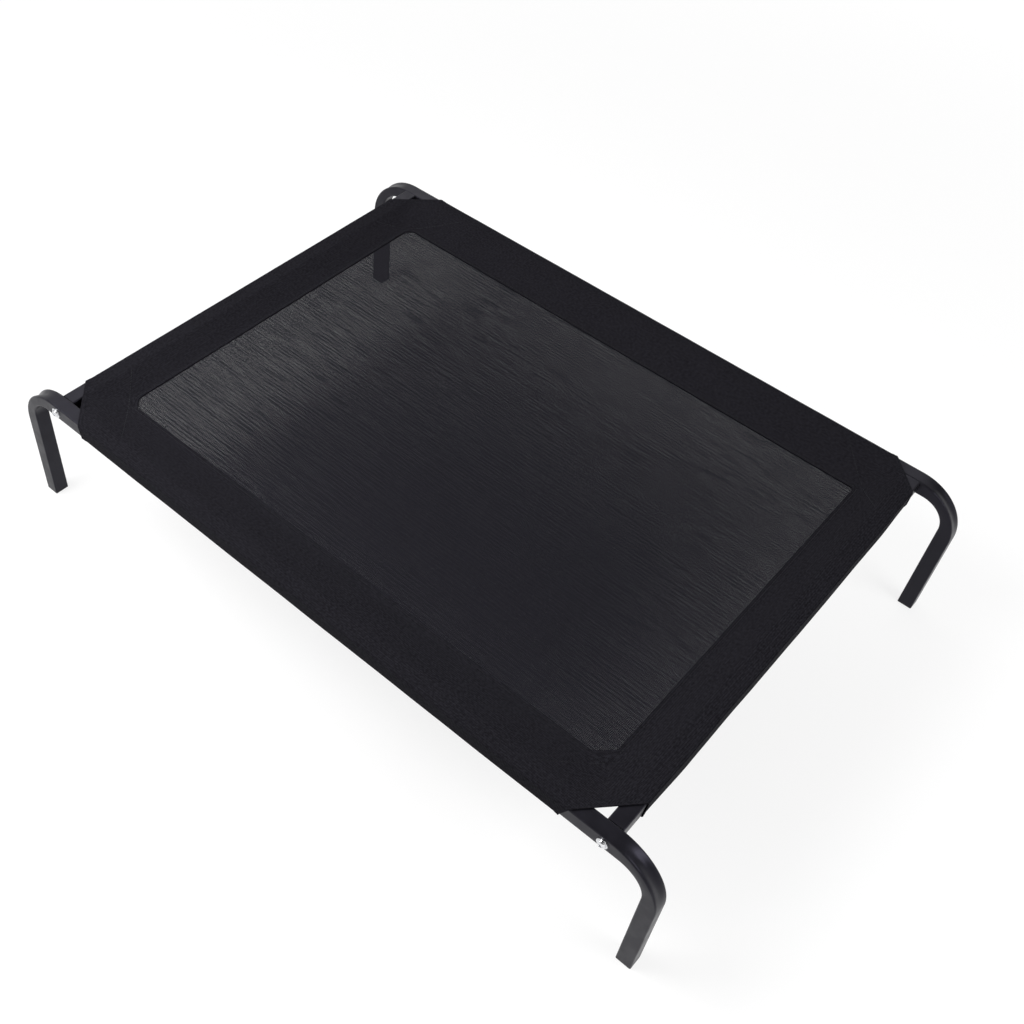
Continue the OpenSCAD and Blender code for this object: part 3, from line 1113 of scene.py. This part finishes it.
    def cut(self, end: int, under: float) -> Pair:
        """The line along which the cloth is cut at an end.

        Args:
            end: 1 or -1.
            under: 0 on the tube's top, 1 below it, and between on its outer wall.

        Returns:
            How far along the line lies at the tube's middle, and how much further for each metre inwards.
        """
        corner = self.side.cuts[end]
        turn = corner.turn if self.side.is_long else -corner.turn
        slope = (1.0 - turn) / (1.0 + turn)
        turned_sum = corner.cut_sum + corner.turn * (self.sizes.cross_x - self.sizes.rail_y)
        start = turned_sum / (1.0 + turn) - slope * self.line
        if under > 0.0:
            slant = corner.long_slant if self.side.is_long else corner.short_slant
            fold = start - slope * self.reach - slant * under
            return fold + corner.flare * self.reach, corner.flare
        return start, slope

    def crossings(self, ply: int) -> list[float]:
        """Where a ply's cuts meet the mitres with the next bands.

        Args:
            ply: 1 for the upper ply, -1 for the lower one.

        Returns:
            Shares of the ply's width.
        """
        low, high = self.crossing_ends
        found = []
        for end in (-1, 1):
            start, slope = self.cut(end, under_tube(ply))
            met = (self.end + self.width * self.lean - start) / (self.lean + slope)
            found.append((met - self.sizes.half) / self.inner)
        return [share for share in found if low < share < high]

    def mitre(self, inward: float) -> float:
        """How far along the mitre with the next band lies."""
        return self.end + (self.width - inward) * self.lean

    def stop(self, inward: float, end: int, under: float = 0.0) -> float:
        """How far along the band reaches at an end: just past the mitre with the next band, or to the cut.

        Args:
            inward: Distance inwards from the tube's middle.
            end: 1 or -1.
            under: 0 on the tube's top, 1 below it, and between on its outer wall.

        Returns:
            The distance from the middle of the side.
        """
        start, slope = self.cut(end, under)
        return min(self.mitre(inward) + self.lap, start + slope * inward)

    def relief(self, row: Row, along: float) -> float:
        """How far the cloth stands out of its plain shape, from sewing and uneven pull.

        Args:
            row: The line of cloth.
            along: Distance along the tube.

        Returns:
            The distance outwards.
        """
        near = min(self.stop(row.inward, end, row.under) - end * along for end in (1, -1))
        calm = smooth_step(0.0, self.calm_run, near)
        start, slope = self.cut(end_of(along), row.under)
        to_cut = (start + slope * row.inward - abs(along)) / math.hypot(1.0, slope)
        folded = 1.0 - smooth_step(self.hem_width - self.hem_edge, self.hem_width + self.hem_edge, to_cut)
        hem = self.hem_rise * folded
        if row.ply == 0:
            waved = ripple(along / self.tube_wave_run, self.seed + row.height * self.tube_wave_shift)
            return self.tube_wave * calm * waved + hem
        lapped = 0.0 if self.side.is_long else -self.lap_drop * (1.0 - smooth_step(0.0, self.lap_run, near))
        gathers = math.exp(-(1.0 - row.share) * self.width / self.gather_run)
        sewn = self.pucker * gathers * ripple(along / self.pucker_run, self.seed + row.ply)
        swell = self.wave * math.sin(math.pi * row.share)
        swell *= ripple(along / self.wave_run, self.seed + self.wave_shift * row.share, row.ply)
        pulls = self.pull * ripple(along / self.pull_run + row.share, self.seed + self.pull_shift * row.share,
                                   self.pull_ply_shift * row.ply)
        to_row = (1.0 - row.share) * self.inner - self.sewn_in
        groove = -self.groove * math.exp(-(to_row / self.groove_half) ** 2)
        return calm * (sewn + swell + pulls) + groove + lapped + hem

    def columns(self) -> list[float]:
        """Places along the band, close together in the hems at both ends.

        Returns:
            The places, from -1 to 1.
        """
        count = round(2 * self.end / self.column)
        steps = range(1, self.hem_columns + 1)
        hems = [end * (1.0 - self.hem_column * step) for end in (-1, 1) for step in steps]
        return sorted(set(spread(-1.0, 1.0, count + 1) + hems))

    def point(self, row: Row, column: float) -> Point:
        """Place of the cloth's outer face.

        Args:
            row: The line of cloth.
            column: Place along the band, from -1 to 1.

        Returns:
            Distance along, distance inwards and height.
        """
        end, size, held = end_of(column), abs(column), self.held_share
        steady = self.end - self.end_run
        seam = self.sizes.half + self.seam_share * self.inner
        inward, along = row.inward, 0.0
        for _ in range(self.rounds):
            if size < held:
                along = steady * size / held
            else:
                along = steady + (self.stop(inward, end, row.under) - steady) * (size - held) / (1.0 - held)
            if row.ply and row.share > self.seam_share:
                past = (row.share - self.seam_share) / (1.0 - self.seam_share)
                inward = seam + past * (self.edge(end * along) - seam)
        height = self.height(end * along, inward, row.ply) if row.ply else row.height
        return end * along, inward, height

    def surface(self, row: Row, column: float) -> tuple[Point, float]:
        """Point of the cloth's outer face on the cot, with its relief.

        Args:
            row: The line of cloth.
            column: Place along the band, from -1 to 1.

        Returns:
            The point and its distance along.
        """
        along, inward, height = self.point(row, column)
        lift = self.relief(row, along)
        to_end = self.stop(inward, end_of(along), row.under) - abs(along)
        loose = self.overhang + (self.slack - self.overhang) * row.under
        loose *= 1.0 - smooth_step(-self.reach, self.sizes.half, inward)
        loose *= self.loose_mean + self.loose_swing * ripple(along / self.loose_run, self.seed)
        loose *= smooth_step(0.0, self.loose_run, to_end)
        return self.place(along, inward + row.out[0] * lift - loose, height + row.out[1] * lift), along

    def build(self) -> None:
        """Builds the band with its hemmed ends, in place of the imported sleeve."""
        rows, columns = self.rows(), self.columns()
        piece = Piece(f"band_{self.side.label}")
        lengths = [0.0]
        for low, high in zip(rows, rows[1:]):
            lengths.append(lengths[-1] + math.hypot(high.inward - low.inward, high.height - low.height))
        grid = []
        for row, length in zip(rows, lengths):
            line = []
            for column in columns:
                point, along = self.surface(row, column)
                line.append(piece.add(point, (along, length, 0.0)))
            grid.append(line[::-1])
        piece.skin(grid)
        area = self._area(piece)
        made = piece.build(Finishes.band, self.effects)
        thick = made.modifiers.new("ply", "SOLIDIFY")
        thick.thickness = self.ply
        thick.offset = -1.0
        hem = self._hems(rows)
        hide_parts(f"sleeve_{self.side.label}")

    @staticmethod
    def _area(piece: Piece) -> float:
        """Area of the cloth before it has a thickness.

        Args:
            piece: The piece, all of whose faces have four corners.

        Returns:
            The area in square metres.
        """
        total = 0.0
        for face in piece.faces:
            a, b, c, d = (Vector(piece.points[i]) for i in face)
            total += (c - a).cross(d - b).length / 2
        return total

    def _hems(self, rows: Sequence[Row]) -> bpy.types.Object:
        """Rolled hem along the cut at both ends.

        Args:
            rows: Lines of the cloth.

        Returns:
            The object.
        """
        piece = Piece(f"hem_{self.side.label}")
        zero, close = Vector(self.place(0.0, 0.0, 0.0)), 1e-6
        for end in (-1, 1):
            path = []
            for row in rows:
                if self.stop(row.inward, end, row.under) < self.mitre(row.inward) + close:
                    point, _ = self.surface(row, float(end))
                    out = Vector(self.place(0.0, *row.out)) - zero
                    path.append((Vector(point) - out * self.ply * 0.5, out))
            rings, length = [], 0.0
            for i, (centre, out) in enumerate(path):
                before, after = path[max(i - 1, 0)][0], path[min(i + 1, len(path) - 1)][0]
                way = (after - before).normalized()
                length += (centre - before).length
                side = way.cross(out).normalized()
                up = side.cross(way)
                ring = []
                for angle in turns(self.hem_sides):
                    round_it = side * math.cos(angle) * self.hem_flatness + up * math.sin(angle)
                    place = (length, angle * self.hem_radius, 0.0)
                    ring.append(piece.add(centre + round_it * self.hem_radius, place))
                rings.append(ring)
            piece.rod(rings)
        return piece.build(Finishes.band, self.effects, outward=True)


@dataclass
class MeshSheet:
    """The see-through panel, drawn tight between the bands, with its edge tucked between their plies."""

    sizes: CotSizes
    effects: Effects
    tuck: float = 0.009
    tuck_run: float = 0.004
    sag: float = 0.0022
    step: float = 0.006
    pull: float = 0.00035
    pull_run: float = 0.03
    pull_wide: float = 0.011
    pull_long: float = 0.08
    pull_seeds: Pair = (5.0, 9.0)
    wave: float = 0.0004
    wave_run: Pair = (0.11, 0.16)
    wave_seed: float = 2.0

    def _pulled(self, to_edge: float, along: float, across: float, seed: float) -> float:
        """Small pulls of the sewing near an edge, at a place along it and across the panel."""
        waved = ripple(along / self.pull_wide, seed + math.copysign(1.0, across), across / self.pull_long)
        return math.exp(-to_edge / self.pull_run) * waved

    def height(self, x: float, y: float) -> float:
        """Height of the panel.

        Args:
            x: Place along the cot.
            y: Place across it.

        Returns:
            The height above the floor.
        """
        sizes = self.sizes
        fall = max(1.0 - (x / sizes.mesh_x) ** 2, 0.0) * max(1.0 - (y / sizes.mesh_y) ** 2, 0.0)
        to_end = max(sizes.mesh_x - abs(x), 0.0)
        to_side = max(sizes.mesh_y - abs(y), 0.0)
        end_seed, side_seed = self.pull_seeds
        pulled = self._pulled(to_end, y, x, end_seed) + self._pulled(to_side, x, y, side_seed)
        slow = self.wave * ripple(x / self.wave_run[0], y / self.wave_run[1], self.wave_seed)
        tucked = smooth_step(0.0, self.tuck_run, min(to_end, to_side))
        return sizes.mesh_z - self.sag * fall + tucked * (self.pull * pulled + slow * fall)

    def build(self) -> bpy.types.Object:
        """Builds the panel.

        Returns:
            The object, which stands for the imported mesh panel.
        """
        reach_x, reach_y = self.sizes.mesh_x + self.tuck, self.sizes.mesh_y + self.tuck
        xs, ys = (spread(-reach, reach, round(2 * reach / self.step)) for reach in (reach_x, reach_y))
        piece = Piece("mesh_sheet")
        piece.skin([[piece.add((x, y, self.height(x, y)), (x, y, 0.0)) for x in xs] for y in ys])
        made = piece.build(Finishes.mesh, self.effects)
        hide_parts("mesh_panel")
        return made


@dataclass
class Stitching:
    """Rows of lockstitch through the cover: along the mesh's edge and across each folded corner.

    The profile of a stitch gives, at places along it, its lift and its thickness by the thread's radius.
    """

    bands: dict[Side, Band]
    effects: Effects
    pitch: float = 0.0042
    length: float = 0.0031
    radius: float = 0.00034
    sides: int = 6
    profile: tuple[Point, ...] = (
        (0.0, -0.6, 0.7), (0.16, 0.35, 1.0), (0.5, 0.6, 1.0), (0.84, 0.35, 1.0), (1.0, -0.6, 0.7))
    fold: float = 0.085
    end_gap: float = 0.004
    tube_gap: float = 0.0035
    mitre_gap: float = 0.002
    fold_places: int = 60

    def _stitch(self, piece: Piece, start: Vector, end: Vector, up: Vector) -> None:
        """Adds one stitch: a thread that dips into the cloth at both ends.

        Args:
            piece: The piece that takes the stitch.
            start: Where it leaves the cloth.
            end: Where it goes back in.
            up: The way out of the cloth.
        """
        side = (end - start).normalized().cross(up)
        rings = []
        for along, lift, size in self.profile:
            centre = start.lerp(end, along) + up * lift * self.radius
            rings.append([piece.add(centre + (side * math.cos(a) + up * math.sin(a)) * size * self.radius)
                          for a in turns(self.sides)])
        piece.rod(rings)

    def _row(self, piece: Piece, line: Callable[[float], Vector], span: float, up: Vector) -> None:
        """Adds a row of stitches.

        Args:
            piece: The piece that takes the row.
            line: Gives the place on the cloth at a distance along the row.
            span: Length of the row.
            up: The way out of the cloth.
        """
        count = int((span - self.length) / self.pitch)
        for i in range(count + 1):
            begin = i * self.pitch
            self._stitch(piece, line(begin), line(begin + self.length), up)

    def _on_band(self, band: Band, along: float, inward: float, ply: int) -> Vector:
        """Point of a band's ply.

        Args:
            band: The band.
            along: Distance along its tube.
            inward: Distance inwards from the tube's middle.
            ply: 1 for the upper ply, -1 for the lower one.

        Returns:
            The point on the ply's outer face.
        """
        share = (inward - band.sizes.half) / band.inner
        row = band.ply_row(inward, min(share, 1.0), ply, along)
        return Vector(band.place(along, inward, row.height + ply * band.relief(row, along)))

    def edges(self) -> bpy.types.Object:
        """Sews the bands to the mesh, on the upper and the lower ply.

        Returns:
            The object with all the stitches.
        """
        piece = Piece("edge_stitching")
        for band in self.bands.values():
            inward = band.width - band.sewn_in
            for ply in (1, -1):
                starts = [band.stop(inward, end, under_tube(ply)) - self.end_gap for end in (-1, 1)]

                def line(at: float, b: Band = band, n: float = inward, p: int = ply,
                         s: float = starts[0]) -> Vector:
                    """Place on the row at a distance from its start."""
                    return self._on_band(b, at - s, n, p)

                self._row(piece, line, sum(starts), Vector((0.0, 0.0, float(ply))))
        return piece.build(Finishes.thread, self.effects, outward=True)

    def corners(self) -> bpy.types.Object:
        """Sews down the folded corners, in a line parallel to each cut.

        Returns:
            The object with all the stitches.
        """
        piece = Piece("corner_stitching")
        diagonal = math.sqrt(2.0)
        for band in self.bands.values():
            for end in (-1, 1):
                offset = band.side.cuts[end].cut_sum - self.fold - band.line
                inside = [n for n in spread(band.sizes.half + self.tube_gap, band.width, self.fold_places)
                          if offset + n < band.stop(n, end) - self.mitre_gap]

                def line(at: float, b: Band = band, e: int = end, o: float = offset,
                         n: float = inside[0]) -> Vector:
                    """Place on the row at a distance from its start by the tube."""
                    inward = n + at / diagonal
                    return self._on_band(b, e * (o + inward), inward, 1)

                self._row(piece, line, (inside[-1] - inside[0]) * diagonal, UP)
        return piece.build(Finishes.thread, self.effects, outward=True)


@dataclass
class Cover:
    """The cloth cover: four bands, the mesh between them, and the sewing. The right sleeve sits loosest."""

    sizes: CotSizes
    effects: Effects
    right_slack: float = 0.0024
    right_overhang: float = 0.0016

    def build(self) -> None:
        """Builds the bands, the mesh and the sewing."""
        bands = {side: Band(side, self.sizes, self.effects) for side in Side}
        bands[Side.RIGHT].slack = self.right_slack
        bands[Side.RIGHT].overhang = self.right_overhang
        for band in bands.values():
            band.build()
        sheet = MeshSheet(self.sizes, self.effects).build()
        stitching = Stitching(bands, self.effects)
        for sewn in (stitching.edges(), stitching.corners()):
            LOG.info("%s goes with %s", sewn.name, sheet.name)


@dataclass(frozen=True)
class SoftBox:
    """A soft studio lamp that looks at the middle of the cot."""

    name: str
    place: Point
    size: Pair
    power: float
    aim: Point = (0.0, 0.0, 0.15)

    def build(self) -> None:
        """Hangs the lamp."""
        lamp = bpy.data.lights.new(self.name, "AREA")
        lamp.shape = "RECTANGLE"
        lamp.size, lamp.size_y = self.size
        lamp.energy = self.power
        made = bpy.data.objects.new(self.name, lamp)
        made.location = self.place
        way = Vector(self.aim) - Vector(self.place)
        made.rotation_euler = way.to_track_quat("-Z", "Y").to_euler()
        bpy.context.scene.collection.objects.link(made)


@dataclass
class Studio:
    """White floor, pale walls, soft lamps and the camera.

    A mapped value goes from the first two numbers to the last two: the floor's glow by the distance from its
    middle, the walls' rise and fade by the height that is looked at, and their swing by how near that is to
    bright_way.
    """

    floor_radius: float = 60.0
    floor_sides: int = 96
    floor_colour: Colour = (0.86, 0.86, 0.86)
    shaded_colour: Colour = (0.20, 0.20, 0.20)
    floor_glow: Mapped = (1.0, 4.0, 0.82, 1.0)
    backdrop: float = 18.0
    wall_rise: Mapped = (0.40, 0.57, 0.05, 1.0)
    wall_fade: Mapped = (0.55, 0.95, 1.0, 0.08)
    wall_swing: Mapped = (0.16, 0.74, 0.30, 2.5)
    bright_way: Point = (-0.75, 0.66, 0.0)
    lens: float = 42.7836
    sensor: float = 36.0
    camera_place: Point = (0.67452, -0.98284, 1.42235)
    yaw: float = math.radians(37.1169)
    pitch: float = math.radians(48.5307)
    roll: float = math.radians(5.2790)
    shift: Pair = (0.066265, -0.004725)
    lamps: tuple[SoftBox, ...] = (
        SoftBox("left_softbox", (-0.92, -0.84, 1.72), (1.05, 0.80), 34.0),
        SoftBox("front_softbox", (-0.75, -1.45, 1.25), (0.7, 0.5), 8.0),
        SoftBox("right_softbox", (2.40, 0.25, 2.20), (1.4, 1.2), 40.0),
    )

    def build(self) -> None:
        """Sets the stage."""
        bpy.context.scene.view_settings.view_transform = "Standard"
        self._floor()
        self._walls()
        for lamp in self.lamps:
            lamp.build()
        self._camera()

    def _floor(self) -> None:
        """Lays the floor, whose rim turns up into a backdrop."""
        mesh = bpy.data.meshes.new("studio_floor")
        count = self.floor_sides
        rims = [(self.floor_radius * math.cos(a), self.floor_radius * math.sin(a), z)
                for z in (0.0, self.backdrop) for a in turns(count)]
        walls = [(i, (i + 1) % count, count + (i + 1) % count, count + i) for i in range(count)]
        mesh.from_pydata(rims, [], [tuple(range(count))] + walls)
        mesh.materials.append(self._white())
        floor = bpy.data.objects.new("studio_floor", mesh)
        bpy.context.scene.collection.objects.link(floor)

    def _white(self) -> bpy.types.Material:
        """Paint of the floor, which is white where it is seen directly and keeps the cot's shadow.

        Returns:
            The material.
        """
        material = bpy.data.materials.new("white_floor")
        material.use_nodes = True
        g = Graph(material.node_tree)
        ray = g.node("ShaderNodeLightPath").outputs
        uncovered = g.math("SUBTRACT", 1.0, g.math("MINIMUM", ray["Transparent Depth"], 1.0))
        mirrored = g.math("MAXIMUM", ray["Is Glossy Ray"], ray["Is Transmission Ray"])
        seen = g.math("MAXIMUM", g.math("MULTIPLY", ray["Is Camera Ray"], uncovered), mirrored)
        plain = g.node("ShaderNodeBsdfDiffuse", self.floor_colour).outputs[0]
        shaded = g.node("ShaderNodeBsdfDiffuse", self.shaded_colour).outputs[0]
        far = g.node("ShaderNodeVectorMath", g.place("Object"), operation="LENGTH").outputs["Value"]
        glow = g.node("ShaderNodeEmission", WHITE, g.ranged(far, *self.floor_glow)).outputs[0]
        lit = g.node("ShaderNodeAddShader", shaded, glow).outputs[0]
        g.node("ShaderNodeOutputMaterial", g.node("ShaderNodeMixShader", seen, plain, lit).outputs[0])
        return material

    def _walls(self) -> None:
        """Makes the world: pale walls, brightest halfway up and at the back left, under a dim ceiling."""
        world = bpy.data.worlds.new("studio_walls")
        world.use_nodes = True
        g = Graph(world.node_tree)
        looked = g.place("Generated")
        height = g.parts(looked)[2]
        ring = g.math("MULTIPLY", g.ranged(height, *self.wall_rise), g.ranged(height, *self.wall_fade))
        facing = g.node("ShaderNodeVectorMath", looked, self.bright_way, operation="DOT_PRODUCT")
        level = g.math("MULTIPLY", ring, g.ranged(facing.outputs["Value"], *self.wall_swing))
        g.node("ShaderNodeOutputWorld", g.node("ShaderNodeBackground", WHITE, level).outputs[0])
        bpy.context.scene.world = world

    def _camera(self) -> None:
        """Puts the camera where the photograph was taken from."""
        flat = math.cos(self.pitch)
        back = Vector((math.sin(self.yaw) * flat, -math.cos(self.yaw) * flat, math.sin(self.pitch)))
        right = (-back).cross(UP).normalized()
        up = back.cross(right)
        turned = right * math.cos(self.roll) + up * math.sin(self.roll)
        risen = up * math.cos(self.roll) - right * math.sin(self.roll)
        data = bpy.data.cameras.new("photo_camera")
        data.sensor_width = self.sensor
        data.lens = self.lens
        data.shift_x, data.shift_y = self.shift
        camera = bpy.data.objects.new("photo_camera", data)
        turn = Matrix((turned, risen, back)).transposed().to_4x4()
        camera.matrix_world = Matrix.Translation(self.camera_place) @ turn
        bpy.context.scene.collection.objects.link(camera)
        bpy.context.scene.camera = camera


def main() -> None:
    """Builds the studio and the cot."""
    logging.basicConfig(level=logging.INFO, format="%(name)s: %(message)s")
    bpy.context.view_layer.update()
    sizes = CotSizes()
    Studio().build()
    effects = Effects()
    for corner in Corner:
        BentRail(corner.value, sizes, effects).build()
    for side in (Side.LEFT, Side.RIGHT):
        CrossRail(side, sizes, effects).build()
    Hardware(effects).dress(frame["nodes"])
    Cover(sizes, effects).build()


if __name__ == "__main__":
    main()
